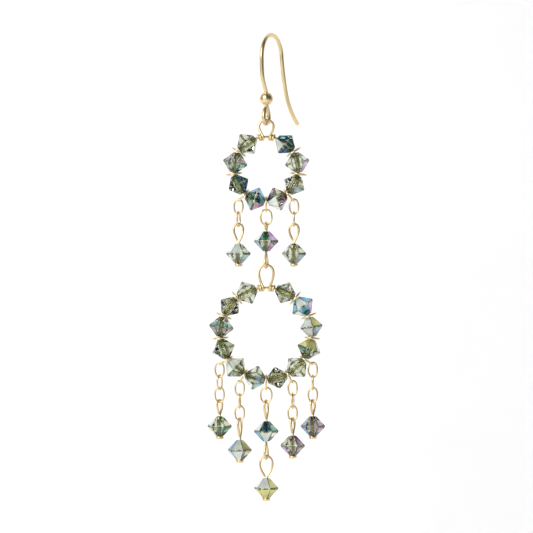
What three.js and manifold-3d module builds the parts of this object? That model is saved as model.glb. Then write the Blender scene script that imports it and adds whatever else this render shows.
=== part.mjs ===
// Chandelier earring: a wire ear hook that carries two rings of faceted crystal beads, one below the
// other, with short chains and crystal drops under each ring.
// Millimetres, +X to the right as seen from the front, +Y to the back, +Z up.
// The origin is the inside top of the hook's bow, where the hook rests in the ear.

import * as THREE from 'three';
import { mergeVertices } from 'three/addons/utils/BufferGeometryUtils.js';
import Module from 'manifold-3d';

const wasm = await Module();
wasm.setup();

const radians = THREE.MathUtils.degToRad;

// ---- Driving dimensions ----

// Wire radii, and the play between two wires that hang in each other.
const HOOK_WIRE = 0.35;
const RING_WIRE = 0.21;
const PIN_WIRE = 0.2;
const LINK_WIRE = 0.15;
const PLAY = 0.05;

// The hook stands on edge to the rings: its plane is turned about the vertical.
// Places in that plane are given as across, from the bow's middle, and z.
const HOOK_TURN = radians(65);
const BOW_RADIUS = 3.85;
const LEG_ACROSS = -2.1;
const HOOK_TAIL = [
  { across: 9.5, z: -14.0 },
  { across: 7.9, z: -12.5 },
  { across: 5.9, z: -9.9 },
  { across: 4.7, z: -6.8 },
];
const HOOK_FRONT = [
  { across: -3.46, z: -6.8 },
  { across: -2.32, z: -8.7 },
  { across: LEG_ACROSS, z: -9.6 },
];
const HOOK_EYE = { neck: -11.25, halfWidth: 0.95, taper: 0.55 };
const BALL = { z: -10.0, radius: 1.1, bore: 0.42, segments: 20 };

// The rings and all that hangs from them share one vertical axis and one upright plane.
const DROP_X = LEG_ACROSS * Math.cos(HOOK_TURN);
const DROP_Y = LEG_ACROSS * Math.sin(HOOK_TURN);

// Crystal: a six-sided double cone with cut-off ends and a hole along its axis.
const BEAD = { sides: 6, radius: 2.0, endRadius: 0.58, boreRadius: 0.5, halfLength: 1.6 };

// Each ring: a closed wire circle, an eye on top of it, and beads spaced evenly from the first one
// beside the eye (its angle from the top, in degrees) round to the last.
const UPPER_RING = { z: -21.3, wireRadius: 5.19, beadRadius: 5.07, beads: 8, firstBead: 37.0, eyeTop: -13.42 };
const LOWER_RING = { z: -47.6, wireRadius: 7.35, beadRadius: 7.26, beads: 12, firstBead: 24.9, eyeTop: -36.6 };
const RING_EYE = { halfWidth: 1.165, taper: 1.3, legAngle: 0.93 };
const COIL = { turns: 1.75, pitch: 0.45, play: 0.02 };

// Round link over the ring's wire between two beads. One that carries a drop is pulled outwards.
const ROUND_LINK = { radius: 1.225, pull: 0.375 };

// Chain of oval links one in the other, built as one tube of the chain's girth.
const CHAIN = { radius: 0.45, linkHeight: 2.35, endGap: 0.3 };
const CENTRE_LINK_HEIGHT = 2.45;

// A pin's head under its bead, and its straight neck between bead and eye.
const HEAD = { radius: 0.68, height: 0.42, gap: 0.04 };
const NECK = 0.12;
const PIN_TAPER = 1.3;
const ROUND_TAPER = 0.7;

// Drops on chains. gap counts the spaces between beads from the bottom one, to the left (-) or
// right (+). Turns are about the vertical, in degrees, from facing front.
const UPPER_DROPS = [
  { name: 'upper_left', gap: -1, links: 2, beadZ: -34.8, eyeHalfWidth: 0.76, eyeTurn: 8, beadTurn: 4 },
  { name: 'upper_right', gap: 1, links: 2, beadZ: -34.8, eyeHalfWidth: 0.76, eyeTurn: -6, beadTurn: 18 },
];
const LOWER_DROPS = [
  { name: 'lower_outer_left', gap: -2, links: 3, beadZ: -62.4, eyeHalfWidth: 0.72, eyeTurn: 56, beadTurn: 2 },
  { name: 'lower_inner_left', gap: -1, links: 3, beadZ: -66.2, eyeHalfWidth: 0.72, eyeTurn: 68, beadTurn: 12 },
  { name: 'lower_inner_right', gap: 1, links: 3, beadZ: -65.5, eyeHalfWidth: 0.72, eyeTurn: 66, beadTurn: 22 },
  { name: 'lower_outer_right', gap: 2, links: 3, beadZ: -62.4, eyeHalfWidth: 0.72, eyeTurn: 64, beadTurn: 8 },
];

// Middle drops: a link, then a bead on a pin with an eye at each end.
const UPPER_CENTRE = { beadZ: -32.8, upperHalfWidth: 0.6, lowerHalfWidth: 0.72, eyeTurn: 74, beadTurn: 20 };
const LOWER_CENTRE = { beadZ: -63.2, upperHalfWidth: 0.74, lowerHalfWidth: 0.66, eyeTurn: 66, beadTurn: 26 };
const LOWER_CENTRE_EYE_BOTTOM = -67.62;
const LAST = { name: 'last', beadZ: -72.3, eyeHalfWidth: 1.0, eyeTurn: 4, beadTurn: 3 };

// ---- Materials ----

const gold = new THREE.MeshStandardMaterial({ color: 0xe3b567, roughness: 0.24, metalness: 1.0 });
const crystal = new THREE.MeshStandardMaterial({ color: 0x8b9484, roughness: 0.06, metalness: 0.0 });

// ---- Shape helpers ----

// Only positions, with shared vertices merged, so that a shape is one closed surface.
function closed(geometry) {
  const bare = geometry.clone();
  bare.deleteAttribute('normal');
  bare.deleteAttribute('uv');
  return mergeVertices(bare, 1e-5);
}

function toSolid(geometry) {
  const bare = closed(geometry);
  const vertProperties = new Float32Array(bare.attributes.position.array);
  const triVerts = new Uint32Array(bare.index.array);
  return new wasm.Manifold(new wasm.Mesh({ numProp: 3, vertProperties, triVerts }));
}

function fromSolid(solid) {
  const mesh = solid.getMesh();
  const geometry = new THREE.BufferGeometry();
  geometry.setAttribute('position', new THREE.BufferAttribute(new Float32Array(mesh.vertProperties), 3));
  geometry.setIndex(new THREE.BufferAttribute(new Uint32Array(mesh.triVerts), 1));
  return geometry;
}

function fuse(first, second) {
  return fromSolid(toSolid(first).add(toSolid(second)));
}

// Round wire along a smooth route through points.
function wire(points, radius, steps, sides) {
  const route = new THREE.CatmullRomCurve3(points, false, 'centripetal');
  route.arcLengthDivisions = 4 * steps;
  const corners = Array.from({ length: sides }, (_, side) => {
    const angle = (2 * Math.PI * side) / sides;
    return new THREE.Vector2(radius * Math.cos(angle), radius * Math.sin(angle));
  });
  const section = new THREE.Shape(corners);
  return closed(new THREE.ExtrudeGeometry(section, { steps, bevelEnabled: false, extrudePath: route }));
}

function turned(profile, segments) {
  const points = profile.map(([radius, z]) => new THREE.Vector2(radius, z));
  return closed(new THREE.LatheGeometry(points, segments).rotateX(Math.PI / 2));
}

// Drop-shaped outline: [across, along] at t, from its point (t = 0) round its broad end (t = pi).
function dropShape(t, { halfWidth, height, taper }) {
  const widest = (1 + taper) / (2 + taper);
  const peak = 2 * Math.sqrt(widest * (1 - widest)) * widest ** (taper / 2);
  const across = (halfWidth * Math.sin(t) * Math.abs(Math.sin(t / 2)) ** taper) / peak;
  return [across, (height * (1 - Math.cos(t))) / 2];
}

// Wire eye on a neck at z, above it (up = 1) or below it (up = -1), turned about the vertical.
// It ends just before it would touch the side that it started on.
function eyePoints(eye, wireRadius, z, turn, up) {
  const points = [];
  const count = 40;
  for (let i = 1; i < count; i += 1) {
    const t = (2 * Math.PI * i) / count;
    const [across, along] = dropShape(t, eye);
    const closing = t > 1.5 * Math.PI && -across < wireRadius + PLAY / 2;
    if (closing) break;
    points.push(new THREE.Vector3(across * Math.cos(turn), across * Math.sin(turn), z + up * along));
  }
  return points;
}

function named(name, geometry, material) {
  const mesh = new THREE.Mesh(geometry, material);
  mesh.name = name;
  return mesh;
}

// ---- Crystal beads ----

function beadGeometry() {
  const { boreRadius, endRadius, radius, halfLength, sides } = BEAD;
  const profile = [
    [boreRadius, -halfLength],
    [endRadius, -halfLength],
    [radius, 0],
    [endRadius, halfLength],
    [boreRadius, halfLength],
    [boreRadius, -halfLength],
  ];
  return turned(profile, sides);
}

function hangingBead(name, z, turn) {
  const bead = named(`${name}_bead`, beadGeometry(), crystal);
  bead.position.set(0, 0, z);
  bead.rotation.z = radians(turn);
  return bead;
}

// ---- Ear hook ----

function hookPoint({ across, z }) {
  return new THREE.Vector3(across * Math.cos(HOOK_TURN), across * Math.sin(HOOK_TURN), z);
}

function earHook() {
  const centreZ = HOOK_WIRE - BOW_RADIUS;
  const bow = [];
  for (let degrees = 0; degrees <= 190; degrees += 19) {
    const angle = radians(degrees);
    bow.push({ across: BOW_RADIUS * Math.cos(angle), z: centreZ + BOW_RADIUS * Math.sin(angle) });
  }
  const eyeBottom = UPPER_RING.eyeTop - (HOOK_WIRE + RING_WIRE + PLAY);
  const eye = { ...HOOK_EYE, height: HOOK_EYE.neck - eyeBottom };
  const neck = [{ across: LEG_ACROSS, z: HOOK_EYE.neck + 0.4 }];
  const eyeRoute = eyePoints(eye, HOOK_WIRE, HOOK_EYE.neck, HOOK_TURN, -1);
  eyeRoute.forEach((point) => point.add(new THREE.Vector3(DROP_X, DROP_Y, 0)));
  const route = [...[...HOOK_TAIL, ...bow, ...HOOK_FRONT, ...neck].map(hookPoint), ...eyeRoute];
  return named('ear_hook', wire(route, HOOK_WIRE, 76, 8), gold);
}

function hookBall() {
  const { radius, bore, segments } = BALL;
  const openAngle = Math.asin(bore / radius);
  const profile = [];
  for (let i = 0; i <= 10; i += 1) {
    const angle = openAngle + ((Math.PI - 2 * openAngle) * i) / 10;
    profile.push([radius * Math.sin(angle), -radius * Math.cos(angle)]);
  }
  profile.push(profile[0]);
  const ball = named('hook_ball', turned(profile, segments), gold);
  ball.position.set(DROP_X, DROP_Y, BALL.z);
  return ball;
}

// ---- Rings ----

// A point beside the ring's wire: angle round the ring from its top, reach from the wire's middle
// towards a direction that is outwards at 0 and to the back at a quarter turn.
function besideWire(ring, angle, reach, direction) {
  const radius = ring.wireRadius + reach * Math.cos(direction);
  return new THREE.Vector3(radius * Math.sin(angle), reach * Math.sin(direction), radius * Math.cos(angle));
}

// The coil that binds one leg of the eye to the ring, from the leg outwards (side 1 or -1).
function coilPoints(ring, side, legX) {
  const reach = 2 * RING_WIRE + COIL.play;
  const steps = 12 * COIL.turns;
  const tuck = 3;
  const points = [];
  for (let i = 1; i <= steps + tuck; i += 1) {
    const turns = i / 12;
    const angle = (side * (legX + COIL.pitch * Math.min(turns, COIL.turns))) / ring.wireRadius;
    const depth = 1 - 0.45 * (Math.max(0, i - steps) / tuck);
    points.push(besideWire(ring, angle, reach * depth, side * (0.5 + 2 * turns) * Math.PI));
  }
  return points;
}

// The ring's closed wire, with the eye on top and a coil at the foot of each of the eye's legs.
// One leg comes down in front of the ring's wire and the other behind it.
function ringWire(name, ring) {
  const circle = new THREE.TorusGeometry(ring.wireRadius, RING_WIRE, 6, 4 * ring.beads + 4).rotateX(Math.PI / 2);
  const { legAngle } = RING_EYE;
  const legShare = (1 - Math.cos(legAngle)) / 2;
  const height = (ring.eyeTop - ring.z - ring.wireRadius) / (1 - legShare);
  const shape = { ...RING_EYE, height };
  const base = ring.wireRadius - height * legShare;
  const reach = 2 * RING_WIRE + COIL.play;
  const eye = [];
  const count = 20;
  for (let i = 0; i <= count; i += 1) {
    const lean = (2 * i) / count - 1;
    const t = Math.PI - lean * (Math.PI - legAngle);
    const [across, along] = dropShape(t, shape);
    eye.push(new THREE.Vector3(across, reach * lean ** 3, base + along));
  }
  const legX = eye[count].x;
  const left = coilPoints(ring, -1, legX).reverse();
  const right = coilPoints(ring, 1, legX);
  const bound = wire([...left, ...eye, ...right], RING_WIRE, 88, 6);
  return named(`${name}_wire`, fuse(circle, bound), gold);
}

function beadAngle(ring, index) {
  const spacing = (360 - 2 * ring.firstBead) / (ring.beads - 1);
  return radians(ring.firstBead + spacing * index);
}

// The middle of the space between beads, counted from the bottom of the ring.
function gapAngle(ring, gap) {
  const spacing = radians((360 - 2 * ring.firstBead) / (ring.beads - 1));
  return Math.PI - gap * spacing;
}

function ringBeads(name, ring) {
  return Array.from({ length: ring.beads }, (_, index) => {
    const angle = beadAngle(ring, index);
    const bead = named(`${name}_bead_${index + 1}`, beadGeometry(), crystal);
    bead.position.set(ring.beadRadius * Math.sin(angle), 0, ring.beadRadius * Math.cos(angle));
    bead.rotation.set(0, angle + Math.PI / 2, radians((23 * index + 7) % 60));
    return bead;
  });
}

function roundLink(ring, angle, pull) {
  const radius = ring.wireRadius + pull;
  return new THREE.TorusGeometry(ROUND_LINK.radius, LINK_WIRE, 6, 16)
    .rotateY(angle + Math.PI / 2)
    .translate(radius * Math.sin(angle), 0, radius * Math.cos(angle));
}

// Links in the spaces that carry no drop.
function spacerLinks(name, ring, carried) {
  const links = [];
  const highest = ring.beads / 2 - 1;
  for (let gap = -highest; gap <= highest; gap += 1) {
    if (Math.abs(gap) <= carried) continue;
    const link = roundLink(ring, gapAngle(ring, gap), 0);
    links.push(named(`${name}_link_${links.length + 1}`, closed(link), gold));
  }
  return links;
}

function ringGroup(name, ring, carried) {
  const group = new THREE.Group();
  group.position.z = ring.z;
  group.add(ringWire(name, ring), ...ringBeads(name, ring), ...spacerLinks(name, ring, carried));
  return group;
}

// ---- Drops ----

// Where a drop's chain starts: the outermost wire of the round link that it hangs from.
function hangPoint(ring, gap) {
  const angle = gapAngle(ring, gap);
  const radius = ring.wireRadius + ROUND_LINK.pull + ROUND_LINK.radius;
  return new THREE.Vector3(radius * Math.sin(angle), 0, ring.z + radius * Math.cos(angle));
}

// Height of the inside wire of the eye that hangs from the last link of a chain.
function eyeTopBelow(hangZ, links, linkHeight) {
  const linkHang = 2 * LINK_WIRE + PLAY;
  const pinHang = LINK_WIRE + PIN_WIRE + PLAY;
  return hangZ + pinHang - links * (linkHeight - linkHang);
}

// The round link over the ring's wire and the chain below it, down to just above the pin's eye.
function chainPiece(name, ring, gap, eyeTop) {
  const top = hangPoint(ring, gap);
  const round = roundLink(ring, gapAngle(ring, gap), ROUND_LINK.pull).translate(0, 0, ring.z);
  const start = top.z + LINK_WIRE / 3;
  const end = eyeTop + PIN_WIRE + CHAIN.endGap;
  const route = [start, (start + end) / 2, end].map((z) => new THREE.Vector3(top.x, 0, z));
  return named(`${name}_chain`, fuse(round, wire(route, CHAIN.radius, 4, 8)), gold);
}

function neckAbove(beadZ) {
  return beadZ + BEAD.halfLength + NECK;
}

function neckBelow(beadZ) {
  return beadZ - BEAD.halfLength - NECK;
}

// Pin with a head under the bead and an eye above it.
function headedPin(name, beadZ, eyeTop, halfWidth, turn) {
  const headTop = beadZ - BEAD.halfLength - HEAD.gap;
  const profile = [
    [0, headTop - HEAD.height],
    [HEAD.radius * 0.6, headTop - HEAD.height * 0.85],
    [HEAD.radius, headTop - HEAD.height * 0.35],
    [HEAD.radius, headTop],
    [0, headTop],
  ];
  const neck = neckAbove(beadZ);
  const eye = { halfWidth, height: eyeTop - neck, taper: PIN_TAPER };
  const shank = [headTop - HEAD.height / 2, beadZ, neck].map((z) => new THREE.Vector3(0, 0, z));
  const route = [...shank, ...eyePoints(eye, PIN_WIRE, neck, radians(turn), 1)];
  return named(`${name}_pin`, fuse(turned(profile, 12), wire(route, PIN_WIRE, 32, 6)), gold);
}

// Pin with an eye at each end and the bead between them.
function doublePin(name, { beadZ, upperHalfWidth, lowerHalfWidth, eyeTurn }, eyeTop, eyeBottom) {
  const above = neckAbove(beadZ);
  const below = neckBelow(beadZ);
  const upper = { halfWidth: upperHalfWidth, height: eyeTop - above, taper: ROUND_TAPER };
  const lower = { halfWidth: lowerHalfWidth, height: below - eyeBottom, taper: ROUND_TAPER };
  const turn = radians(eyeTurn);
  const shank = [below, beadZ, above].map((z) => new THREE.Vector3(0, 0, z));
  const lowerEye = eyePoints(lower, PIN_WIRE, below, turn + Math.PI, -1).reverse();
  const route = [...lowerEye, ...shank, ...eyePoints(upper, PIN_WIRE, above, turn, 1)];
  return named(`${name}_pin`, wire(route, PIN_WIRE, 48, 6), gold);
}

function chainDrop(ring, drop) {
  const hang = hangPoint(ring, drop.gap);
  const eyeTop = eyeTopBelow(hang.z, drop.links, CHAIN.linkHeight);
  const hanging = new THREE.Group();
  hanging.position.x = hang.x;
  hanging.add(
    headedPin(drop.name, drop.beadZ, eyeTop, drop.eyeHalfWidth, drop.eyeTurn),
    hangingBead(drop.name, drop.beadZ, drop.beadTurn),
  );
  const group = new THREE.Group();
  group.add(chainPiece(drop.name, ring, drop.gap, eyeTop), hanging);
  return group;
}

function centreDrop(name, ring, drop, eyeBottom) {
  const eyeTop = eyeTopBelow(hangPoint(ring, 0).z, 1, CENTRE_LINK_HEIGHT);
  const group = new THREE.Group();
  group.add(
    chainPiece(name, ring, 0, eyeTop),
    doublePin(name, drop, eyeTop, eyeBottom),
    hangingBead(name, drop.beadZ, drop.beadTurn),
  );
  return group;
}

function lastDrop() {
  const eyeTop = LOWER_CENTRE_EYE_BOTTOM + 2 * PIN_WIRE + PLAY;
  const group = new THREE.Group();
  group.add(
    headedPin(LAST.name, LAST.beadZ, eyeTop, LAST.eyeHalfWidth, LAST.eyeTurn),
    hangingBead(LAST.name, LAST.beadZ, LAST.beadTurn),
  );
  return group;
}

// ---- Assembly ----

function upperDrop() {
  const group = new THREE.Group();
  group.position.set(DROP_X, DROP_Y, 0);
  const eyeBottom = LOWER_RING.eyeTop - (PIN_WIRE + RING_WIRE + PLAY);
  group.add(
    ringGroup('upper_ring', UPPER_RING, 1),
    ...UPPER_DROPS.map((drop) => chainDrop(UPPER_RING, drop)),
    centreDrop('upper_centre', UPPER_RING, UPPER_CENTRE, eyeBottom),
  );
  return group;
}

function lowerDrop() {
  const group = new THREE.Group();
  group.position.set(DROP_X, DROP_Y, 0);
  group.add(
    ringGroup('lower_ring', LOWER_RING, 2),
    ...LOWER_DROPS.map((drop) => chainDrop(LOWER_RING, drop)),
    centreDrop('lower_centre', LOWER_RING, LOWER_CENTRE, LOWER_CENTRE_EYE_BOTTOM),
    lastDrop(),
  );
  return group;
}

const group = new THREE.Group();
group.add(earHook(), hookBall(), upperDrop(), lowerDrop());

export default group;
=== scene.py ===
"""Chandelier earring: gold wire, links, chain and pins, and cut crystals with a rainbow film.

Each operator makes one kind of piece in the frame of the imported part: +Z up, the front facing -Y,
and the origin where the ear hook's bow rests. Lengths in the tables and routes are in millimetres.
"""

import math
import random

import bpy
from mathutils import Matrix, Vector


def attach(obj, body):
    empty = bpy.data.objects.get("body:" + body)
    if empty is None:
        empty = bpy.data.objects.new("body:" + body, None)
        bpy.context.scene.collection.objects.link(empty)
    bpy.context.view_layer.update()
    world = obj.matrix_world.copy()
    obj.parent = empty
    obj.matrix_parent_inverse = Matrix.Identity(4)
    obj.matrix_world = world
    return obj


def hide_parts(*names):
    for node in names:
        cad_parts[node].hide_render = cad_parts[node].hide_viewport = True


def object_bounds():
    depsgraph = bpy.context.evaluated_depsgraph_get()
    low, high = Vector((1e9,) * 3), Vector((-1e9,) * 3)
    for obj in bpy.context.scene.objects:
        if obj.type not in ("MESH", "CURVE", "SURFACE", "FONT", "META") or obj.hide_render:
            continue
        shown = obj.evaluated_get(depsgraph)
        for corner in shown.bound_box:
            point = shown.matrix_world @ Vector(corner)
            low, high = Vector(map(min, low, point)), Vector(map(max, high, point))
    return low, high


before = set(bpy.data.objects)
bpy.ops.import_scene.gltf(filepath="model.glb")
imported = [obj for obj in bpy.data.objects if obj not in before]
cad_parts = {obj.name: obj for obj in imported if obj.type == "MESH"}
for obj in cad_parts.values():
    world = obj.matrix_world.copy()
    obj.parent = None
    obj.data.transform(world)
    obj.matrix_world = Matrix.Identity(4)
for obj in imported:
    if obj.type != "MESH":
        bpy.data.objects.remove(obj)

bl_info = {
    "name": "Chandelier earring",
    "version": (1, 0, 0),
    "blender": (4, 5, 0),
    "location": "3D View > Sidebar > Earring",
    "description": "Models the wires, links, pins and cut crystals of a chandelier earring",
    "category": "Object",
}

MM = 0.001
CAD_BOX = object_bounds()
# Play between two wires that hang in each other.
PLAY = 0.05

# The ear hook: its plane turned from the rings' plane, and its points as (across, height).
HOOK_TURN = math.radians(65)
LEG_ACROSS = -2.1
BOW_RADIUS = 3.85
HOOK_TAIL = ((9.85, -13.5), (8.1, -12.2), (5.95, -9.7), (4.7, -6.8))
HOOK_FRONT = ((-3.46, -6.8), (-2.32, -8.7), (-2.1, -9.6))
HOOK_NECK = -11.25
HOOK_EYE = {"half_width": 0.95, "taper": 0.55}
BALL_HEIGHT = -10.0
# The line that the rings and the drops hang on.
DROP_X = LEG_ACROSS * math.cos(HOOK_TURN)
DROP_Y = LEG_ACROSS * math.sin(HOOK_TURN)

# A ring: height and radius of its wire and of the beads' middles, and where its top eye ends.
RINGS = {
    "upper_ring": {
        "body": "upper_drop", "z": -21.3, "wire_radius": 5.19, "bead_radius": 5.07,
        "beads": 8, "first_bead": 37.0, "eye_top": -13.42, "spacer_gaps": (-3, -2, 2, 3),
    },
    "lower_ring": {
        "body": "lower_drop", "z": -47.6, "wire_radius": 7.35, "bead_radius": 7.26,
        "beads": 12, "first_bead": 24.9, "eye_top": -36.6, "spacer_gaps": (-5, -4, -3, 3, 4, 5),
    },
}
RING_EYE = {"half_width": 1.165, "taper": 1.3, "leg_angle": 0.93}
COIL_TURNS = 1.75
COIL_PITCH = 0.45
COIL_STEPS = 24
COIL_REACH = 0.44
PULL = 0.375

# Drops on chains. gap counts the spaces between ring beads from the lowest, left (-) to right (+).
# links are how far each oval link is turned from facing front, and eye and bead likewise, in degrees.
CHAIN_DROPS = {
    "upper_left": {
        "ring": "upper_ring", "gap": -1, "links": (-14, 72), "z": -34.8, "half_width": 0.76, "eye": 8, "bead": 20,
    },
    "upper_right": {
        "ring": "upper_ring", "gap": 1, "links": (10, 88), "z": -34.8, "half_width": 0.76, "eye": -6, "bead": 18,
    },
    "lower_outer_left": {
        "ring": "lower_ring", "gap": -2, "links": (-14, 60, -10), "z": -62.4, "half_width": 0.72, "eye": 56, "bead": 20,
    },
    "lower_inner_left": {
        "ring": "lower_ring", "gap": -1, "links": (8, 84, -4), "z": -66.2, "half_width": 0.72, "eye": 68, "bead": 16,
    },
    "lower_inner_right": {
        "ring": "lower_ring", "gap": 1, "links": (14, 78, 6), "z": -65.5, "half_width": 0.72, "eye": 66, "bead": 22,
    },
    "lower_outer_right": {
        "ring": "lower_ring", "gap": 2, "links": (12, 86, -8), "z": -62.4, "half_width": 0.72, "eye": 64, "bead": 22,
    },
}
# The two middle drops hang on one larger link, and carry an eye at each end.
CENTRE_DROPS = {
    "upper_centre": {
        "ring": "upper_ring", "gap": 0, "links": (6,), "z": -32.8, "half_width": 0.60, "eye": 74, "bead": 20,
        "lower_half_width": 0.72, "bottom": -37.06,
    },
    "lower_centre": {
        "ring": "lower_ring", "gap": 0, "links": (-8,), "z": -63.2, "half_width": 0.74, "eye": 66, "bead": 26,
        "lower_half_width": 0.66, "bottom": -67.62,
    },
}
LAST_DROP = {"ring": "lower_ring", "z": -72.3, "half_width": 1.0, "eye": 4, "bead": 18, "top": -67.17}
LINK_STEP = 0.35
OVAL_SQUARENESS = 0.92
EYE_STEP = 0.40
NECK = 0.12
PIN_TAPER = 1.3
ROUND_TAPER = 0.7

# Looks of a crystal's facets: film thickness in nanometres, the colour of the glass or of the
# film's mirror, the share of light that the mirror throws back, and how clear the rest is.
FILMS = {
    "smoke": (0.0, (0.77, 0.79, 0.66), 0.0, 1.0),
    "olive": (0.0, (0.53, 0.56, 0.36), 0.0, 1.0),
    "teal": (360.0, (0.14, 0.48, 0.47), 0.4, 1.0),
    "blue": (300.0, (0.08, 0.26, 0.60), 0.5, 1.0),
    "violet": (240.0, (0.42, 0.28, 0.60), 0.4, 1.0),
    "gold": (0.0, (0.80, 0.78, 0.28), 0.25, 0.3),
    # This near-white look is a painted highlight: near-white, nearly opaque facets that stand in for reflections of the
    # light.
    "ice": (0.0, (0.88, 0.95, 0.91), 0.1, 0.2),
    # The rim look is painted shade: near-black edges that stand in for the dark outline that light gives cut glass.
    "rim": (0.0, (0.05, 0.08, 0.04), 0.0, 1.0),
}
# A crystal's faces below this area, in square millimetres, are its edges, belt and bore.
RIM_AREA = 0.45
# An edge this little turned to the front or back is part of the outline, and gets the near-black rim look: painted
# shade for the dark outline of cut glass.
PAINTED_OUTLINE_LIMIT = 0.68
# How far from a crystal's middle its bore reaches sideways.
BORE_REACH = 0.5
# What the facets on the far side are picked from.
HIDDEN_FILMS = ("smoke", "smoke", "smoke", "olive", "olive", "teal", "violet")
# A facet counts as facing front when its normal is at least this much towards the front.
FACES_FRONT = 0.66
# Looks of the facets that show: upper left, front and right, then lower left, front and right. The near-white look
# among them is a painted highlight on that facet.
FRONT_FILMS = {
    "upper_ring_bead_1": "ice blue violet teal teal blue",
    "upper_ring_bead_2": "olive smoke smoke smoke smoke violet",
    "upper_ring_bead_3": "olive smoke olive olive smoke teal",
    "upper_ring_bead_4": "violet violet olive ice ice violet",
    "upper_ring_bead_5": "blue teal blue teal blue violet",
    "upper_ring_bead_6": "teal smoke blue teal smoke blue",
    "upper_ring_bead_7": "smoke smoke olive olive smoke smoke",
    "upper_ring_bead_8": "smoke smoke smoke teal smoke gold",
    "lower_ring_bead_1": "smoke smoke olive smoke smoke smoke",
    "lower_ring_bead_2": "blue ice blue ice blue violet",
    "lower_ring_bead_3": "gold ice gold olive ice teal",
    "lower_ring_bead_4": "gold gold ice olive smoke violet",
    "lower_ring_bead_5": "smoke smoke olive smoke smoke olive",
    "lower_ring_bead_6": "olive smoke smoke smoke smoke violet",
    "lower_ring_bead_7": "smoke smoke olive ice teal teal",
    "lower_ring_bead_8": "ice ice gold olive smoke teal",
    "lower_ring_bead_9": "smoke smoke olive teal smoke olive",
    "lower_ring_bead_10": "smoke smoke smoke olive smoke olive",
    "lower_ring_bead_11": "teal smoke olive smoke smoke smoke",
    "lower_ring_bead_12": "smoke smoke olive smoke smoke smoke",
    "upper_left_bead": "ice ice olive smoke smoke teal",
    "upper_centre_bead": "ice teal violet blue olive violet",
    "upper_right_bead": "smoke smoke olive olive smoke teal",
    "lower_outer_left_bead": "ice smoke olive gold smoke olive",
    "lower_inner_left_bead": "blue ice gold blue ice smoke",
    "lower_centre_bead": "ice blue olive blue ice smoke",
    "lower_inner_right_bead": "olive smoke violet violet smoke olive",
    "lower_outer_right_bead": "teal smoke smoke blue smoke smoke",
    "last_bead": "ice ice gold gold gold gold",
}


# ---- Settings ----


class EarringWires(bpy.types.PropertyGroup):
    """Sizes of the wires and links."""

    hook_radius: bpy.props.FloatProperty(
        name="Hook wire", description="Radius of the ear hook's wire", default=0.35 * MM, unit="LENGTH"
    )
    ring_radius: bpy.props.FloatProperty(
        name="Ring wire", description="Radius of the wire through a ring's beads", default=0.21 * MM, unit="LENGTH"
    )
    pin_radius: bpy.props.FloatProperty(
        name="Pin wire", description="Radius of the pins through the drops", default=0.20 * MM, unit="LENGTH"
    )
    link_radius: bpy.props.FloatProperty(
        name="Link wire", description="Radius of the links' wire", default=0.15 * MM, unit="LENGTH"
    )
    round_link: bpy.props.FloatProperty(
        name="Round link", description="Radius of a round link to its wire's middle", default=1.225 * MM, unit="LENGTH"
    )
    oval_width: bpy.props.FloatProperty(
        name="Oval width", description="Width of a chain link over its wire", default=1.75 * MM, unit="LENGTH"
    )
    oval_height: bpy.props.FloatProperty(
        name="Oval height", description="Height of a chain link between its wire's middles",
        default=2.35 * MM, unit="LENGTH",
    )
    centre_width: bpy.props.FloatProperty(
        name="Middle link width", description="Width of a middle drop's link over its wire",
        default=2.1 * MM, unit="LENGTH",
    )
    centre_height: bpy.props.FloatProperty(
        name="Middle link height", description="Height of a middle drop's link between its wire's middles",
        default=2.45 * MM, unit="LENGTH",
    )
    head_radius: bpy.props.FloatProperty(
        name="Pin head", description="Radius of the domed head under a drop", default=0.68 * MM, unit="LENGTH"
    )
    ball_radius: bpy.props.FloatProperty(
        name="Ball", description="Radius of the hollow ball on the ear hook", default=1.1 * MM, unit="LENGTH"
    )


class EarringCrystals(bpy.types.PropertyGroup):
    """Sizes of the cut crystals."""

    radius: bpy.props.FloatProperty(
        name="Radius", description="From a crystal's middle to a corner of its belt", default=2.0 * MM, unit="LENGTH"
    )
    half_length: bpy.props.FloatProperty(
        name="Half length", description="From the belt to a cut-off end", default=1.6 * MM, unit="LENGTH"
    )
    end_radius: bpy.props.FloatProperty(
        name="End", description="Corner radius of the cut-off ends", default=0.60 * MM, unit="LENGTH"
    )
    bore: bpy.props.FloatProperty(
        name="Bore", description="Radius of the hole through a crystal", default=0.43 * MM, unit="LENGTH"
    )
    edge: bpy.props.FloatProperty(
        name="Edge", description="Width of the ground edge between two facets", default=0.07 * MM, unit="LENGTH"
    )


class EarringStage(bpy.types.PropertyGroup):
    """The backdrop, the lights and the camera."""

    wall_gap: bpy.props.FloatProperty(
        name="Wall gap", description="From the hook's tail to the wall behind it", default=55 * MM, unit="LENGTH"
    )
    fill: bpy.props.FloatProperty(
        name="Fill", description="Share of the picture's height that the earring takes", default=0.88, subtype="FACTOR"
    )
    distance: bpy.props.FloatProperty(
        name="Distance", description="From the camera to the rings", default=0.5, unit="LENGTH"
    )
    key_power: bpy.props.FloatProperty(name="Key light", description="Power of the soft key light", default=2.4)
    sky_strength: bpy.props.FloatProperty(name="Sky", description="Strength of the even light", default=0.85)


# ---- Selecting and placing ----


def deselect_all():
    bpy.ops.object.select_all(action="DESELECT")


def only(obj):
    """Make obj the one selected and active object."""
    deselect_all()
    obj.select_set(True)
    bpy.context.view_layer.objects.active = obj
    return obj


def edit(obj):
    only(obj)
    bpy.ops.object.mode_set(mode="EDIT")


def stop_editing():
    bpy.ops.object.mode_set(mode="OBJECT")


def select_parts(obj, kind, wanted):
    """In edit mode, select the vertices, edges or faces for which wanted(part, mesh) is true."""
    bpy.ops.mesh.select_mode(type=kind)
    bpy.ops.mesh.select_all(action="DESELECT")
    bpy.ops.object.mode_set(mode="OBJECT")
    mesh = obj.data
    parts = {"VERT": mesh.vertices, "EDGE": mesh.edges, "FACE": mesh.polygons}[kind]
    for part in parts:
        part.select = wanted(part, mesh)
    bpy.ops.object.mode_set(mode="EDIT")


def smooth(obj, degrees):
    only(obj)
    bpy.ops.object.shade_smooth_by_angle(angle=math.radians(degrees))


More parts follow.
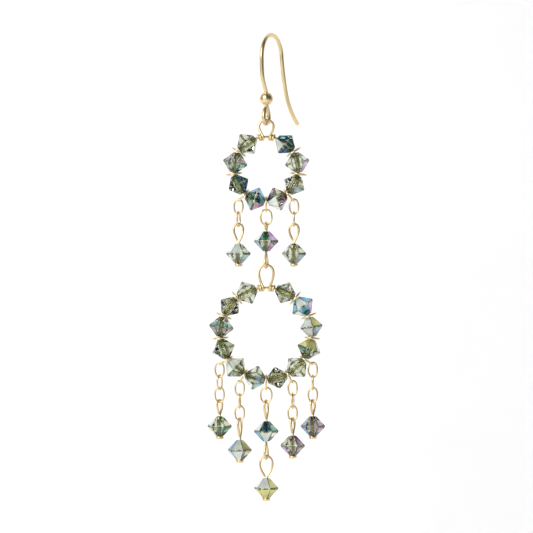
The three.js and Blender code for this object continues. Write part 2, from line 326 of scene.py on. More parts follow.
def place(obj, matrix):
    """Put a shape made at the origin in its place, and keep that place in its mesh."""
    obj.matrix_world = matrix @ obj.matrix_world
    only(obj)
    bpy.ops.object.transform_apply(location=True, rotation=True, scale=True)
    return obj


def copy_of(master, name, matrix):
    twin = master.copy()
    twin.data = master.data.copy()
    twin.name = name
    twin.data.name = name
    bpy.context.scene.collection.objects.link(twin)
    return place(twin, matrix)


def remove(obj):
    mesh = obj.data
    bpy.data.objects.remove(obj)
    bpy.data.meshes.remove(mesh)


def join(name, parts):
    only(parts[0])
    for part in parts[1:]:
        part.select_set(True)
    bpy.ops.object.join()
    parts[0].name = name
    parts[0].data.name = name
    return parts[0]


def finish_piece(obj, body, materials, nodes=()):
    """Give a piece its materials and its body, and hide the CAD parts of the nodes that it stands for."""
    obj.data.materials.clear()
    for material in materials:
        obj.data.materials.append(material)
    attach(obj, body)
    if nodes:
        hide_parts(*nodes)
    return obj


def at(x, y, z):
    """A move to a point in millimetres."""
    return Matrix.Translation(Vector((x, y, z)) * MM)


def turn_about(axis, degrees):
    return Matrix.Rotation(math.radians(degrees), 4, axis)


# ---- Routes of wires ----


def hook_point(across, z):
    """A point of the ear hook's plane."""
    return Vector((across * math.cos(HOOK_TURN), across * math.sin(HOOK_TURN), z))


def drop_shape(t, half_width, height, taper):
    """Drop-shaped outline at t: its point at t = 0, and its broad end at t = pi."""
    widest = (1 + taper) / (2 + taper)
    peak = 2 * math.sqrt(widest * (1 - widest)) * widest ** (taper / 2)
    across = half_width * math.sin(t) * abs(math.sin(t / 2)) ** taper / peak
    return across, height * (1 - math.cos(t)) / 2


def eye_route(neck, half_width, height, taper, wire_radius, turn, up):
    """A wire eye on a neck point, up (1) or down (-1), ending just short of where it began."""
    steps = 64
    route = []
    for i in range(1, steps):
        t = 2 * math.pi * i / steps
        across, along = drop_shape(t, half_width, height, taper)
        if t > 1.5 * math.pi and -across < wire_radius + PLAY / 2:
            break
        route.append(neck + Vector((across * math.cos(turn), across * math.sin(turn), up * along)))
    return route


def smooth_route(points, spacing):
    """A smooth line through points, as points about one spacing apart (centripetal Catmull-Rom)."""
    ends = [2 * points[0] - points[1], *points, 2 * points[-1] - points[-2]]
    route = []
    for a, b, c, d in zip(ends, ends[1:], ends[2:], ends[3:]):
        knot_b = (b - a).length ** 0.5
        knot_c = knot_b + (c - b).length ** 0.5
        knot_d = knot_c + (d - c).length ** 0.5
        pieces = max(1, round((c - b).length / spacing))
        for k in range(pieces):
            t = knot_b + (knot_c - knot_b) * k / pieces
            ab = a.lerp(b, t / knot_b)
            bc = b.lerp(c, (t - knot_b) / (knot_c - knot_b))
            cd = c.lerp(d, (t - knot_c) / (knot_d - knot_c))
            abc = ab.lerp(bc, t / knot_c)
            bcd = bc.lerp(cd, (t - knot_b) / (knot_d - knot_b))
            route.append(abc.lerp(bcd, (t - knot_b) / (knot_c - knot_b)))
    route.append(points[-1])
    return route


def hook_route():
    """The ear hook from its tail over the bow, down the front and round its eye."""
    points = [hook_point(*pair) for pair in HOOK_TAIL]
    for step in range(11):
        angle = math.radians(19 * step)
        height = 0.35 - BOW_RADIUS + BOW_RADIUS * math.sin(angle)
        points.append(hook_point(BOW_RADIUS * math.cos(angle), height))
    points += [hook_point(*pair) for pair in HOOK_FRONT]
    neck = hook_point(LEG_ACROSS, HOOK_NECK)
    points.append(neck + Vector((0, 0, 0.4)))
    height = HOOK_NECK - (RINGS["upper_ring"]["eye_top"] - PLAY - 0.35 - 0.21)
    eye = eye_route(neck, HOOK_EYE["half_width"], height, HOOK_EYE["taper"], 0.35, HOOK_TURN, -1)
    return smooth_route(points + eye[3::4] + [eye[-1]], 0.25)


def circle_route(radius, middle, steps):
    """A closed circle in the plane of the rings, starting at its lowest point."""
    route = []
    for i in range(steps):
        angle = math.pi + 2 * math.pi * i / steps
        route.append(middle + Vector((radius * math.sin(angle), 0, radius * math.cos(angle))))
    return route


def binding_route(ring):
    """The wire that makes a ring's top eye and winds round the ring wire beside it, coil to coil."""
    radius = ring["wire_radius"]
    middle = Vector((DROP_X, DROP_Y, ring["z"]))
    leg = RING_EYE["leg_angle"]
    leg_share = (1 - math.cos(leg)) / 2
    height = (ring["eye_top"] - ring["z"] - radius) / (1 - leg_share)
    base = radius - height * leg_share
    shape = (RING_EYE["half_width"], height, RING_EYE["taper"])
    eye = []
    steps = 40
    for i in range(steps + 1):
        lean = 2 * i / steps - 1
        across, along = drop_shape(math.pi - lean * (math.pi - leg), *shape)
        eye.append(middle + Vector((across, COIL_REACH * lean ** 3, base + along)))
    leg_x = drop_shape(leg, *shape)[0]
    return coil_route(middle, radius, leg_x, -1)[::-1] + eye + coil_route(middle, radius, leg_x, 1)


def coil_route(middle, radius, leg_x, side):
    """Turns of the binding wire round the ring wire, the last of them tucked in."""
    route = []
    whole = round(COIL_TURNS * COIL_STEPS)
    tuck = COIL_STEPS // 4
    for i in range(1, whole + tuck + 1):
        turns = i / COIL_STEPS
        angle = side * (leg_x + COIL_PITCH * min(turns, COIL_TURNS)) / radius
        depth = COIL_REACH * (1 - 0.45 * max(0, i - whole) / tuck)
        direction = side * (0.5 + 2 * turns) * math.pi
        out = radius + depth * math.cos(direction)
        route.append(middle + Vector((out * math.sin(angle), depth * math.sin(direction), out * math.cos(angle))))
    return route


# ---- Shapes ----


def bent_wire(name, route, radius, closed=False, rounded=(False, False), sides=4):
    """Round wire along a route: a curve with the route's points and a round section, made a mesh."""
    deselect_all()
    bpy.ops.curve.primitive_nurbs_path_add(location=(0, 0, 0))
    obj = bpy.context.active_object
    obj.name = name
    curve = obj.data
    curve.splines.clear()
    spline = curve.splines.new("POLY")
    shares = [1.0] * len(route)
    for end, wanted in zip((0, -1), rounded):
        if wanted:
            route, shares = round_end(route, shares, end, radius / MM)
    spline.points.add(len(route) - 1)
    for point, where, share in zip(spline.points, route, shares):
        point.co = (*(where * MM), 1)
        point.radius = share
    spline.use_cyclic_u = closed
    curve.dimensions = "3D"
    curve.bevel_depth = radius
    curve.bevel_resolution = sides
    curve.use_fill_caps = not closed
    bpy.ops.object.convert(target="MESH")
    mesh_obj = bpy.context.active_object
    edit(mesh_obj)
    bpy.ops.mesh.select_all(action="SELECT")
    bpy.ops.mesh.remove_doubles(threshold=1e-6)
    bpy.ops.mesh.normals_make_consistent(inside=False)
    stop_editing()
    smooth(mesh_obj, 50)
    return mesh_obj


def round_end(route, shares, end, radius):
    """Round off one end of a wire by drawing its last points in, as a hemisphere does."""
    tip, inner = (route[0], route[1]) if end == 0 else (route[-1], route[-2])
    outward = (tip - inner).normalized()
    extra = []
    for angle in (25, 50, 70, 84):
        share = math.cos(math.radians(angle))
        extra.append((tip + outward * radius * math.sin(math.radians(angle)), share))
    added = [where for where, _ in extra]
    added_shares = [share for _, share in extra]
    if end == 0:
        return added[::-1] + route, added_shares[::-1] + shares
    return route + added, shares + added_shares


def make_round_link(radius, wire):
    """A round link lying in the XY plane, with the hairline seam where its ends meet."""
    deselect_all()
    bpy.ops.mesh.primitive_torus_add(major_radius=radius, minor_radius=wire, major_segments=90, minor_segments=14)
    obj = bpy.context.active_object
    seam = math.radians(4)
    edit(obj)
    select_parts(obj, "FACE", lambda f, m: 0 < math.atan2(f.center.y, f.center.x) < seam)
    bpy.ops.mesh.delete(type="FACE")
    select_parts(obj, "EDGE", lambda e, m: False)
    bpy.ops.mesh.select_non_manifold()
    bpy.ops.mesh.edge_face_add()
    stop_editing()
    close_ends(obj)
    smooth(obj, 50)
    return obj


def close_ends(obj):
    """Fill any open end and turn all faces outwards."""
    edit(obj)
    bpy.ops.mesh.select_mode(type="EDGE")
    bpy.ops.mesh.select_all(action="SELECT")
    bpy.ops.mesh.fill_holes(sides=0)
    bpy.ops.mesh.select_all(action="SELECT")
    bpy.ops.mesh.normals_make_consistent(inside=False)
    stop_editing()


def make_oval_link(width, height, wire):
    """An upright oval link in the XZ plane, its top wire's middle at the origin."""
    across, along = width / 2 / MM - wire / MM, height / 2 / MM
    route = []
    steps = 64
    for i in range(steps):
        angle = 2 * math.pi * i / steps
        side, rise = math.sin(angle), math.cos(angle)
        x = math.copysign(abs(side) ** OVAL_SQUARENESS, side) * across
        z = math.copysign(abs(rise) ** OVAL_SQUARENESS, rise) * along
        route.append(Vector((x, 0, z - along)))
    return bent_wire("oval", route, wire, closed=True)


def make_head(radius):
    """A pin's head: a thin disc, flat on top and domed below, its top at the origin."""
    height = 0.62 * radius
    deselect_all()
    bpy.ops.mesh.primitive_cylinder_add(vertices=32, radius=radius, depth=height, location=(0, 0, -height / 2))
    obj = bpy.context.active_object
    bpy.ops.object.transform_apply(location=True, rotation=True, scale=True)
    edit(obj)
    select_parts(obj, "EDGE", lambda e, m: all(m.vertices[v].co.z < -height * 0.9 for v in e.vertices))
    bpy.ops.mesh.bevel(offset=height * 0.75, segments=5, profile=0.5)
    select_parts(obj, "EDGE", lambda e, m: all(m.vertices[v].co.z > -height * 0.05 for v in e.vertices))
    bpy.ops.mesh.bevel(offset=height * 0.12, segments=2, profile=0.5)
    stop_editing()
    smooth(obj, 40)
    return obj


def make_ball(radius, bore):
    """A hollow-looking ball: a sphere with a hole along Z, and a small rolled lip at each mouth."""
    deselect_all()
    bpy.ops.mesh.primitive_uv_sphere_add(segments=40, ring_count=28, radius=radius)
    obj = bpy.context.active_object
    edit(obj)
    select_parts(obj, "VERT", lambda v, m: math.hypot(v.co.x, v.co.y) < bore * 0.98)
    bpy.ops.mesh.delete(type="VERT")
    bpy.ops.mesh.select_mode(type="EDGE")
    bpy.ops.mesh.select_all(action="DESELECT")
    bpy.ops.mesh.select_non_manifold()
    bpy.ops.mesh.bridge_edge_loops()
    bpy.ops.mesh.select_all(action="SELECT")
    bpy.ops.mesh.normals_make_consistent(inside=False)
    stop_editing()
    rim = radius * 0.93
    edit(obj)
    select_parts(obj, "EDGE", lambda e, m: is_rim(e, m, rim, bore * 1.35))
    bpy.ops.mesh.bevel(offset=0.05 * MM, segments=3, profile=0.5)
    stop_editing()
    smooth(obj, 60)
    return obj


def is_rim(edge, mesh, height, reach):
    """Whether an edge lies level, high up and close round the hole."""
    ends = [mesh.vertices[v].co for v in edge.vertices]
    level = abs(ends[0].z - ends[1].z) < 1e-7
    return level and all(abs(e.z) > height * 0.9 and math.hypot(e.x, e.y) < reach for e in ends)


def make_crystal(settings):
    """A crystal cut as two six-sided cones, belt to belt, with ground edges and a bore along Z."""
    belt = 0.11 * MM
    deselect_all()
    bpy.ops.mesh.primitive_cylinder_add(vertices=6, radius=settings.radius, depth=2 * belt)
    obj = bpy.context.active_object
    share = settings.end_radius / settings.radius
    for side in (1, -1):
        edit(obj)
        select_parts(obj, "FACE", lambda f, m: f.normal.z * side > 0.9)
        rise = Vector((0, 0, side * (settings.half_length - belt)))
        bpy.ops.mesh.extrude_region_move(TRANSFORM_OT_translate={"value": rise})
        bpy.ops.transform.resize(value=(share, share, 1), center_override=(0, 0, side * settings.half_length))
        stop_editing()
    inside = settings.half_length * 0.98
    edit(obj)
    select_parts(obj, "EDGE", lambda e, m: any(abs(m.vertices[v].co.z) < inside for v in e.vertices))
    bpy.ops.mesh.bevel(offset=settings.edge, segments=1, profile=0.5)
    bpy.ops.mesh.select_all(action="SELECT")
    bpy.ops.mesh.remove_doubles(threshold=1e-6)
    bpy.ops.mesh.normals_make_consistent(inside=False)
    stop_editing()
    cut_bore(obj, settings.bore, settings.half_length)
    smooth(obj, 12)
    return obj


def cut_bore(obj, radius, half_length):
    """Drill a round hole right through, along Z."""
    deselect_all()
    bpy.ops.mesh.primitive_cylinder_add(vertices=28, radius=radius, depth=3 * half_length)
    drill = bpy.context.active_object
    only(obj)
    cut = obj.modifiers.new("Bore", "BOOLEAN")
    cut.operation = "DIFFERENCE"
    cut.solver = "EXACT"
    cut.object = drill
    bpy.ops.object.modifier_apply(modifier=cut.name)
    remove(drill)


# ---- Materials ----


def new_group(name, inputs, outputs):
    """An empty shader group with named sockets: (name, kind, default) for each."""
    group = bpy.data.node_groups.new(name, "ShaderNodeTree")
    for label, kind, default in inputs:
        socket = group.interface.new_socket(name=label, in_out="INPUT", socket_type=kind)
        socket.default_value = default
    for label, kind in outputs:
        group.interface.new_socket(name=label, in_out="OUTPUT", socket_type=kind)
    return group


def node(tree, kind, settings=None, **values):
    made = tree.nodes.new(kind)
    for key, value in (settings or {}).items():
        setattr(made, key, value)
    for key, value in values.items():
        made.inputs[key.replace("_", " ")].default_value = value
    return made


def rubbed_metal_group():
    """Fine drawing lines, soft wear and faint tarnish on wire, from the piece's own coordinates."""
    group = new_group(
        "Rubbed metal",
        [
            ("Grain", "NodeSocketFloat", 9000.0),
            ("Clean", "NodeSocketColor", (0.9, 0.62, 0.3, 1)),
            ("Worn", "NodeSocketColor", (0.98, 0.8, 0.52, 1)),
            ("Low", "NodeSocketFloat", 0.12),
            ("High", "NodeSocketFloat", 0.28),
        ],
        [("Color", "NodeSocketColor"), ("Roughness", "NodeSocketFloat"), ("Height", "NodeSocketFloat")],
    )
    come, go = node(group, "NodeGroupInput"), node(group, "NodeGroupOutput")
    link = group.links.new
    where = node(group, "ShaderNodeTexCoord")
    fine = node(group, "ShaderNodeTexNoise", Detail=3.0, Roughness=0.6)
    broad = node(group, "ShaderNodeTexNoise", Scale=420.0, Detail=2.0, Roughness=0.5)
    link(where.outputs["Object"], fine.inputs["Vector"])
    link(where.outputs["Object"], broad.inputs["Vector"])
    link(come.outputs["Grain"], fine.inputs["Scale"])
    wear = node(group, "ShaderNodeMapRange", **{"From_Min": 0.38, "From_Max": 0.66})
    link(broad.outputs["Fac"], wear.inputs["Value"])
    tone = node(group, "ShaderNodeMix", {"data_type": "RGBA"})
    link(wear.outputs["Result"], tone.inputs["Factor"])
    link(come.outputs["Clean"], tone.inputs[6])
    link(come.outputs["Worn"], tone.inputs[7])
    rough = node(group, "ShaderNodeMapRange", **{"From_Min": 0.3, "From_Max": 0.7})
    link(fine.outputs["Fac"], rough.inputs["Value"])
    link(come.outputs["Low"], rough.inputs["To Min"])
    link(come.outputs["High"], rough.inputs["To Max"])
    link(tone.outputs[2], go.inputs["Color"])
    link(rough.outputs["Result"], go.inputs["Roughness"])
    link(fine.outputs["Fac"], go.inputs["Height"])
    return group


def polish_group():
    """Faint polishing marks, a cloudy share and a drifting film tint on cut glass."""
    group = new_group(
        "Crystal polish",
        [
            ("Tint", "NodeSocketColor", (0.6, 0.62, 0.55, 1)),
            ("Shade", "NodeSocketColor", (0.4, 0.45, 0.35, 1)),
            ("Marks", "NodeSocketFloat", 5200.0),
        ],
        [("Color", "NodeSocketColor"), ("Roughness", "NodeSocketFloat"), ("Height", "NodeSocketFloat")],
    )
    come, go = node(group, "NodeGroupInput"), node(group, "NodeGroupOutput")
    link = group.links.new
    where = node(group, "ShaderNodeTexCoord")
    drift = node(group, "ShaderNodeTexNoise", Scale=520.0, Detail=1.0, Roughness=0.4)
    marks = node(group, "ShaderNodeTexNoise", Detail=4.0, Roughness=0.7)
    link(where.outputs["Object"], drift.inputs["Vector"])
    link(where.outputs["Object"], marks.inputs["Vector"])
    link(come.outputs["Marks"], marks.inputs["Scale"])
    share = node(group, "ShaderNodeMapRange", **{"From_Min": 0.40, "From_Max": 0.62})
    link(drift.outputs["Fac"], share.inputs["Value"])
    tone = node(group, "ShaderNodeMix", {"data_type": "RGBA"})
    link(share.outputs["Result"], tone.inputs["Factor"])
    link(come.outputs["Tint"], tone.inputs[6])
    link(come.outputs["Shade"], tone.inputs[7])
    rough = node(group, "ShaderNodeMapRange", **{"From_Min": 0.5, "From_Max": 0.8, "To_Min": 0.0, "To_Max": 0.06})
    link(marks.outputs["Fac"], rough.inputs["Value"])
    link(tone.outputs[2], go.inputs["Color"])
    link(rough.outputs["Result"], go.inputs["Roughness"])
    link(marks.outputs["Fac"], go.inputs["Height"])
    return group


def shared(group_maker, name):
    return bpy.data.node_groups.get(name) or group_maker()


def new_material(name):
    material = bpy.data.materials.new(name)
    material.use_nodes = True
    return material, material.node_tree, material.node_tree.nodes["Principled BSDF"]


def add_bump(tree, height, shader, strength, distance):
    bump = node(tree, "ShaderNodeBump", Strength=strength, Distance=distance)
    tree.links.new(height, bump.inputs["Height"])
    tree.links.new(bump.outputs["Normal"], shader.inputs["Normal"])


def gold_wire():
    """Warm polished gold, a little worn."""
    found = bpy.data.materials.get("gold_wire")
    if found:
        return found
    material, tree, shader = new_material("gold_wire")
    rubbed = tree.nodes.new("ShaderNodeGroup")
    rubbed.node_tree = shared(rubbed_metal_group, "Rubbed metal")
    rubbed.inputs["Clean"].default_value = (0.86, 0.38, 0.11, 1)
    rubbed.inputs["Worn"].default_value = (0.96, 0.52, 0.21, 1)
    tree.links.new(rubbed.outputs["Color"], shader.inputs["Base Color"])
    tree.links.new(rubbed.outputs["Roughness"], shader.inputs["Roughness"])
    shader.inputs["Metallic"].default_value = 1.0
    add_bump(tree, rubbed.outputs["Height"], shader, 0.12, 0.02 * MM)
    return material


def crystal(film):
    """Smoky glass with a rainbow film of one thickness; the near-white kind is a painted highlight, and the near-black
    rim kind is painted shade.
    """
    name = f"crystal_{film}"
    found = bpy.data.materials.get(name)
    if found:
        return found
    thickness, tint, mirror, clear = FILMS[film]
    material, tree, shader = new_material(name)
    polish = tree.nodes.new("ShaderNodeGroup")
    polish.node_tree = shared(polish_group, "Crystal polish")
    polish.inputs["Tint"].default_value = (*tint, 1)
    polish.inputs["Shade"].default_value = (*(c * 0.82 for c in tint), 1)
    tree.links.new(polish.outputs["Color"], shader.inputs["Base Color"])
    tree.links.new(polish.outputs["Roughness"], shader.inputs["Roughness"])
    shader.inputs["Metallic"].default_value = mirror
    shader.inputs["Transmission Weight"].default_value = clear
    shader.inputs["IOR"].default_value = 1.55
    shader.inputs["Thin Film Thickness"].default_value = thickness
    shader.inputs["Thin Film IOR"].default_value = 2.3
    add_bump(tree, polish.outputs["Height"], shader, 0.04, 0.01 * MM)
    return material


# ---- Operators ----


class EARRING_OT_hook(bpy.types.Operator):
    """Bend the ear hook and put the ball on it"""

    bl_idname = "earring.hook"
    bl_label = "Ear hook"

    def execute(self, context):
        wires = context.scene.earring_wires
        hook = bent_wire("hook", hook_route(), wires.hook_radius, rounded=(True, False), sides=6)
        finish_piece(hook, "ear_wire", [gold_wire()], ["ear_hook"])
        ball = make_ball(wires.ball_radius, 0.42 * MM)
        place(ball, at(DROP_X, DROP_Y, BALL_HEIGHT))
        ball.name = "ball"
        finish_piece(ball, "ear_wire", [gold_wire()], ["hook_ball"])
        return {"FINISHED"}


class EARRING_OT_rings(bpy.types.Operator):
    """Bend each ring's wire, and bind its top eye on beside it"""

    bl_idname = "earring.rings"
    bl_label = "Ring wires"

    def execute(self, context):
        radius = context.scene.earring_wires.ring_radius
        for name, ring in RINGS.items():
            middle = Vector((DROP_X, DROP_Y, ring["z"]))
            hoop = bent_wire("hoop", circle_route(ring["wire_radius"], middle, 160), radius, closed=True)
            binding = bent_wire("binding", binding_route(ring), radius, rounded=(True, True))
            wire = join(f"{name}_hoop", [hoop, binding])
            finish_piece(wire, ring["body"], [gold_wire()], [f"{name}_wire"])
        return {"FINISHED"}


class EARRING_OT_round_links(bpy.types.Operator):
    """Hang the round links between the ring beads"""

    bl_idname = "earring.round_links"
    bl_label = "Round links"

    def execute(self, context):
        wires = context.scene.earring_wires
        master = make_round_link(wires.round_link, wires.link_radius)
        for name, ring in RINGS.items():
            for number, gap in enumerate(ring["spacer_gaps"], 1):
                node_name = f"{name}_link_{number}"
                link = copy_of(master, f"{name}_round_{number}", round_link_place(ring, gap, 0))
                finish_piece(link, ring["body"], [gold_wire()], [node_name])
        for name, drop in {**CHAIN_DROPS, **CENTRE_DROPS}.items():
            ring = RINGS[drop["ring"]]
            link = copy_of(master, f"{name}_round", round_link_place(ring, drop["gap"], PULL))
            finish_piece(link, ring["body"], [gold_wire()], [f"{name}_chain"])
        remove(master)
        return {"FINISHED"}


def gap_angle(ring, gap):
    """Angle from the ring's top to the middle of a gap between two beads."""
    spacing = (360 - 2 * ring["first_bead"]) / (ring["beads"] - 1)
    return 180 - gap * spacing


def round_link_place(ring, gap, pull):
    """The place of a round link that stands across the ring wire, pulled outwards by a drop's weight."""
    angle = gap_angle(ring, gap)
    out = ring["wire_radius"] + pull
    x = DROP_X + out * math.sin(math.radians(angle))
    z = ring["z"] + out * math.cos(math.radians(angle))
    return at(x, DROP_Y, z) @ turn_about("Y", angle - 90) @ turn_about("X", 90) @ turn_about("X", 90)


def hang_point(drop):
    """Where a drop's round link carries it: the lowest point of its wire's middle."""
    ring = RINGS[drop["ring"]]
    angle = math.radians(gap_angle(ring, drop["gap"]))
    out = ring["wire_radius"] + PULL + 1.225
    return DROP_X + out * math.sin(angle), ring["z"] + out * math.cos(angle)


class EARRING_OT_chains(bpy.types.Operator):
    """Link the oval chain links from the round links down"""

    bl_idname = "earring.chains"
    bl_label = "Chains"

    def execute(self, context):
        wires = context.scene.earring_wires
        for drops, width, height in (
            (CHAIN_DROPS, wires.oval_width, wires.oval_height),
            (CENTRE_DROPS, wires.centre_width, wires.centre_height),
        ):
            master = make_oval_link(width, height, wires.link_radius)
            for name, drop in drops.items():
                x, z = hang_point(drop)
                for number, turn in enumerate(drop["links"]):
                    top = z + LINK_STEP - number * (height / MM - LINK_STEP)
                    matrix = at(x, DROP_Y, top) @ turn_about("Z", turn)
                    link = copy_of(master, f"{name}_oval_{number + 1}", matrix)
                    finish_piece(link, RINGS[drop["ring"]]["body"], [gold_wire()])
            remove(master)
        return {"FINISHED"}


def eye_top(drop, link_height):
    """Height of the wire's middle at the top of a drop's eye, which hangs in its last link."""
    if "top" in drop:
        return drop["top"]
    return hang_point(drop)[1] + EYE_STEP - len(drop["links"]) * (link_height - LINK_STEP)


def pin_route(drop, x, top, foot):
    """A pin from its foot up through the crystal, and round its eye."""
    half = 1.6 + NECK
    neck = Vector((x, DROP_Y, drop["z"] + half))
    straight = [Vector((x, DROP_Y, foot + (neck.z - foot) * i / 6)) for i in range(7)]
    turn = math.radians(drop["eye"])
    eye = eye_route(neck, drop["half_width"], top - neck.z, PIN_TAPER if "links" in drop else ROUND_TAPER, 0.2, turn, 1)
    return straight + eye


class EARRING_OT_pins(bpy.types.Operator):
    """Bend the pins with their eyes, and head the ones that end under a crystal"""

    bl_idname = "earring.pins"
    bl_label = "Pins"

    def execute(self, context):
        wires = context.scene.earring_wires
        head = make_head(wires.head_radius)
        drops = {**CHAIN_DROPS, "last": LAST_DROP}
        for name, drop in drops.items():
            x = hang_point(drop)[0] if "links" in drop else DROP_X
            foot = drop["z"] - 1.6 - 0.04
            route = pin_route(drop, x, eye_top(drop, wires.oval_height / MM), foot - 0.1)
            pin = bent_wire("pin", route, wires.pin_radius, rounded=(False, True))
            cap = copy_of(head, "cap", at(x, DROP_Y, foot))
            pin = join(f"{name}_headpin", [pin, cap])
            finish_piece(pin, RINGS[drop["ring"]]["body"], [gold_wire()], [f"{name}_pin"])
        for name, drop in CENTRE_DROPS.items():
            foot = Vector((DROP_X, DROP_Y, drop["z"] - 1.6 - NECK))
            turn = math.radians(drop["eye"] + 180)
            height = foot.z - drop["bottom"]
            low = eye_route(foot, drop["lower_half_width"], height, PIN_TAPER, 0.2, turn, -1)
            top = eye_top(drop, wires.centre_height / MM)
            route = low[::-1] + pin_route(drop, DROP_X, top, foot.z)
            pin = bent_wire(f"{name}_eyepin", route, wires.pin_radius, rounded=(True, True))
            finish_piece(pin, RINGS[drop["ring"]]["body"], [gold_wire()], [f"{name}_pin"])
        remove(head)
        return {"FINISHED"}


class EARRING_OT_crystals(bpy.types.Operator):
    """Cut the crystals, string them on the rings and pins, and film their facets, some with painted highlights and
    their outline edges with painted shade
    """

    bl_idname = "earring.crystals"
    bl_label = "Crystals"

    def execute(self, context):
        master = make_crystal(context.scene.earring_crystals)
        dice = random.Random(7)
        for name, ring in RINGS.items():
            spacing = (360 - 2 * ring["first_bead"]) / (ring["beads"] - 1)
            for index in range(ring["beads"]):
                angle = ring["first_bead"] + spacing * index
                x = DROP_X + ring["bead_radius"] * math.sin(math.radians(angle))
                z = ring["z"] + ring["bead_radius"] * math.cos(math.radians(angle))
                roll = (23 * index + 7) % 60
                matrix = at(x, DROP_Y, z) @ turn_about("Y", angle + 90) @ turn_about("Z", roll)
                add_crystal(master, f"{name}_bead_{index + 1}", matrix, ring["body"], dice)
        for name, drop in {**CHAIN_DROPS, **CENTRE_DROPS, "last": LAST_DROP}.items():
            x = hang_point(drop)[0] if "links" in drop else DROP_X
            matrix = at(x, DROP_Y, drop["z"]) @ turn_about("Z", drop["bead"])
            add_crystal(master, f"{name}_bead", matrix, RINGS[drop["ring"]]["body"], dice)
        remove(master)
        return {"FINISHED"}


def add_crystal(master, node_name, matrix, body, dice):
    """One crystal in place of its node, each facet with a film of its own."""
    name = node_name.replace("bead", "crystal")
    obj = copy_of(master, name, matrix)
    kinds = list(FILMS)
    finish_piece(obj, body, [crystal(kind) for kind in kinds], [node_name])
    centre = sum((v.co for v in obj.data.vertices), Vector()) / len(obj.data.vertices)
    hidden = [dice.choice(HIDDEN_FILMS) for _ in range(12)]
    for face in obj.data.polygons:
        if face.area < RIM_AREA * MM ** 2:
            # Edges turned away from the front get the near-black rim look, painted shade for the glass's dark outline.
            outline = abs(face.normal.y) < PAINTED_OUTLINE_LIMIT and (face.center - centre).length > 2 * BORE_REACH * MM
            face.material_index = kinds.index("rim" if outline else "olive")
            continue
        away = face.center - centre
        level = 0 if away.z > 0 else 3
        side = 1 if face.normal.y < -FACES_FRONT else 0 if away.x < 0 else 2
        # Facets toward the front take their listed looks, the painted highlights among them.
        if face.normal.y < -0.1:
            film = FRONT_FILMS[node_name].split()[level + side]
        else:
            film = hidden[level + side + (6 if away.y > 0 else 0)]
        face.material_index = kinds.index(film)
    return obj


class EARRING_OT_stage(bpy.types.Operator):
    """Set up the backdrop, the lights and the camera"""

    bl_idname = "earring.stage"
    bl_label = "Stage"

    def execute(self, context):
        stage = context.scene.earring_stage
        low, high = CAD_BOX
        middle = (low + high) / 2
        wall_y = high.y + stage.wall_gap
        make_backdrop(middle, wall_y, low.z - 20 * MM)
        add_light("key", (-0.30, -0.42, 0.24), middle, 0.34, stage.key_power)
        set_sky(context.scene, stage.sky_strength)
        add_camera(context.scene, middle, high.z - low.z, stage)
        context.scene.view_settings.view_transform = "Standard"
        return {"FINISHED"}


def make_backdrop(middle, wall_y, floor_z):
    """A pale floor that curves up into a wall close behind the earring."""
    reach = 0.6
    deselect_all()
    bpy.ops.mesh.primitive_plane_add(size=reach, location=(middle.x, wall_y - reach / 2, floor_z))
    obj = bpy.context.active_object
    bpy.ops.object.transform_apply(location=True, rotation=True, scale=True)
    edit(obj)
    select_parts(obj, "EDGE", lambda e, m: all(m.vertices[v].co.y > wall_y - 1e-5 for v in e.vertices))
    bpy.ops.mesh.extrude_region_move(TRANSFORM_OT_translate={"value": (0, 0, reach)})
    select_parts(
        obj, "EDGE",
        lambda e, m: all(
            m.vertices[v].co.y > wall_y - 1e-5 and m.vertices[v].co.z < floor_z + 1e-5 for v in e.vertices
        ),
    )
    bpy.ops.mesh.bevel(offset=6 * MM, segments=8, profile=0.5)
    bpy.ops.mesh.select_all(action="SELECT")
    stop_editing()
    smooth(obj, 40)
    obj.name = "backdrop"
    obj.data.materials.append(backdrop_paper())
    return obj


def backdrop_paper():
    """White paper with a faint tooth, seen from its front only."""
    material, tree, shader = new_material("backdrop_paper")
    where = node(tree, "ShaderNodeTexCoord")
    tooth = node(tree, "ShaderNodeTexNoise", Scale=900.0, Detail=3.0)
    tree.links.new(where.outputs["Object"], tooth.inputs["Vector"])
    tone = node(tree, "ShaderNodeMix", {"data_type": "RGBA"})
    tone.inputs[6].default_value = (0.955, 0.955, 0.955, 1)
    tone.inputs[7].default_value = (0.975, 0.975, 0.975, 1)
    tree.links.new(tooth.outputs["Fac"], tone.inputs["Factor"])
    tree.links.new(tone.outputs[2], shader.inputs["Base Color"])
    shader.inputs["Roughness"].default_value = 0.9
    shader.inputs["Specular IOR Level"].default_value = 0.0
    shader.inputs["Emission Color"].default_value = (1, 1, 1, 1)
    shader.inputs["Emission Strength"].default_value = 0.24
    add_bump(tree, tooth.outputs["Fac"], shader, 0.05, 0.02 * MM)
    side = node(tree, "ShaderNodeNewGeometry")
    clear = node(tree, "ShaderNodeBsdfTransparent")
    mix = node(tree, "ShaderNodeMixShader")
    tree.links.new(side.outputs["Backfacing"], mix.inputs[0])
    tree.links.new(shader.outputs["BSDF"], mix.inputs[1])
    tree.links.new(clear.outputs["BSDF"], mix.inputs[2])
    tree.links.new(mix.outputs["Shader"], tree.nodes["Material Output"].inputs["Surface"])
    return material


def add_light(name, place_at, target, size, power):
    deselect_all()
    where = Vector(place_at) + target
    aim = (target - where).to_track_quat("-Z", "Y")
    bpy.ops.object.light_add(type="AREA", location=where, rotation=aim.to_euler())
    light = bpy.context.active_object
    light.name = name
    light.data.shape = "SQUARE"
    light.data.size = size
    light.data.energy = power
    return light


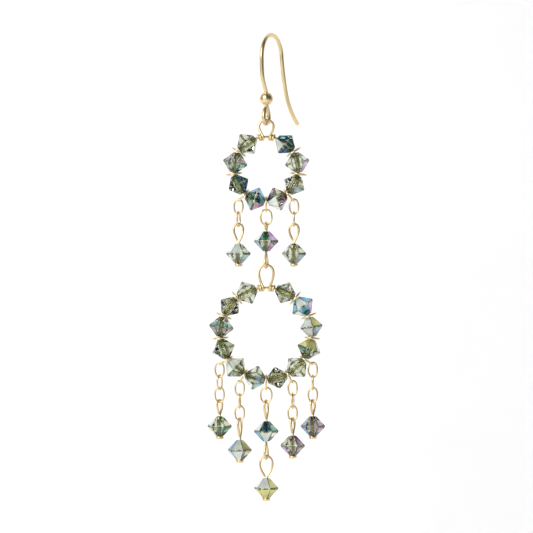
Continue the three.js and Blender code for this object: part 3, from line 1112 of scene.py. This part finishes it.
def set_sky(scene, strength):
    """Even light all round, darker from in front and below, so that glass and gold have dark edges."""
    world = bpy.data.worlds.new("sky")
    scene.world = world
    world.use_nodes = True
    tree = world.node_tree
    back = tree.nodes["Background"]
    where = node(tree, "ShaderNodeTexCoord")
    split = node(tree, "ShaderNodeSeparateXYZ")
    ramp = node(tree, "ShaderNodeMapRange", **{"From_Min": -1.0, "From_Max": -0.7, "To_Min": 0.25, "To_Max": 1.0})
    tone = node(tree, "ShaderNodeMath", {"operation": "MULTIPLY"})
    tone.inputs[1].default_value = strength
    tree.links.new(where.outputs["Generated"], split.inputs["Vector"])
    tree.links.new(split.outputs["Y"], ramp.inputs["Value"])
    tree.links.new(ramp.outputs["Result"], tone.inputs[0])
    tree.links.new(tone.outputs["Value"], back.inputs["Strength"])


def add_camera(scene, middle, height, stage):
    deselect_all()
    where = (middle.x, DROP_Y * MM - stage.distance, middle.z)
    bpy.ops.object.camera_add(location=where, rotation=(math.radians(90), 0, 0))
    camera = bpy.context.active_object
    camera.data.clip_start = 0.01
    camera.data.lens = camera.data.sensor_width * stage.distance * stage.fill / height
    scene.camera = camera
    return camera


class EARRING_PT_panel(bpy.types.Panel):
    """The earring's pieces"""

    bl_label = "Chandelier earring"
    bl_idname = "EARRING_PT_panel"
    bl_space_type = "VIEW_3D"
    bl_region_type = "UI"
    bl_category = "Earring"

    def draw(self, context):
        for group in (context.scene.earring_wires, context.scene.earring_crystals, context.scene.earring_stage):
            for key in group.bl_rna.properties.keys():
                if key not in {"rna_type", "name"}:
                    self.layout.prop(group, key)
        for operator in STEPS:
            self.layout.operator(operator.bl_idname)


STEPS = (
    EARRING_OT_hook, EARRING_OT_rings, EARRING_OT_round_links, EARRING_OT_chains, EARRING_OT_pins,
    EARRING_OT_crystals, EARRING_OT_stage,
)
SETTINGS = {"earring_wires": EarringWires, "earring_crystals": EarringCrystals, "earring_stage": EarringStage}


def register():
    for cls in (*SETTINGS.values(), *STEPS, EARRING_PT_panel):
        bpy.utils.register_class(cls)
    for name, cls in SETTINGS.items():
        setattr(bpy.types.Scene, name, bpy.props.PointerProperty(type=cls))


def unregister():
    for name in SETTINGS:
        delattr(bpy.types.Scene, name)
    for cls in (EARRING_PT_panel, *reversed(STEPS), *SETTINGS.values()):
        bpy.utils.unregister_class(cls)


def main():
    """Make every piece."""
    register()
    for step in STEPS:
        group, name = step.bl_idname.split(".")
        getattr(getattr(bpy.ops, group), name)()


if __name__ == "__main__":
    main()
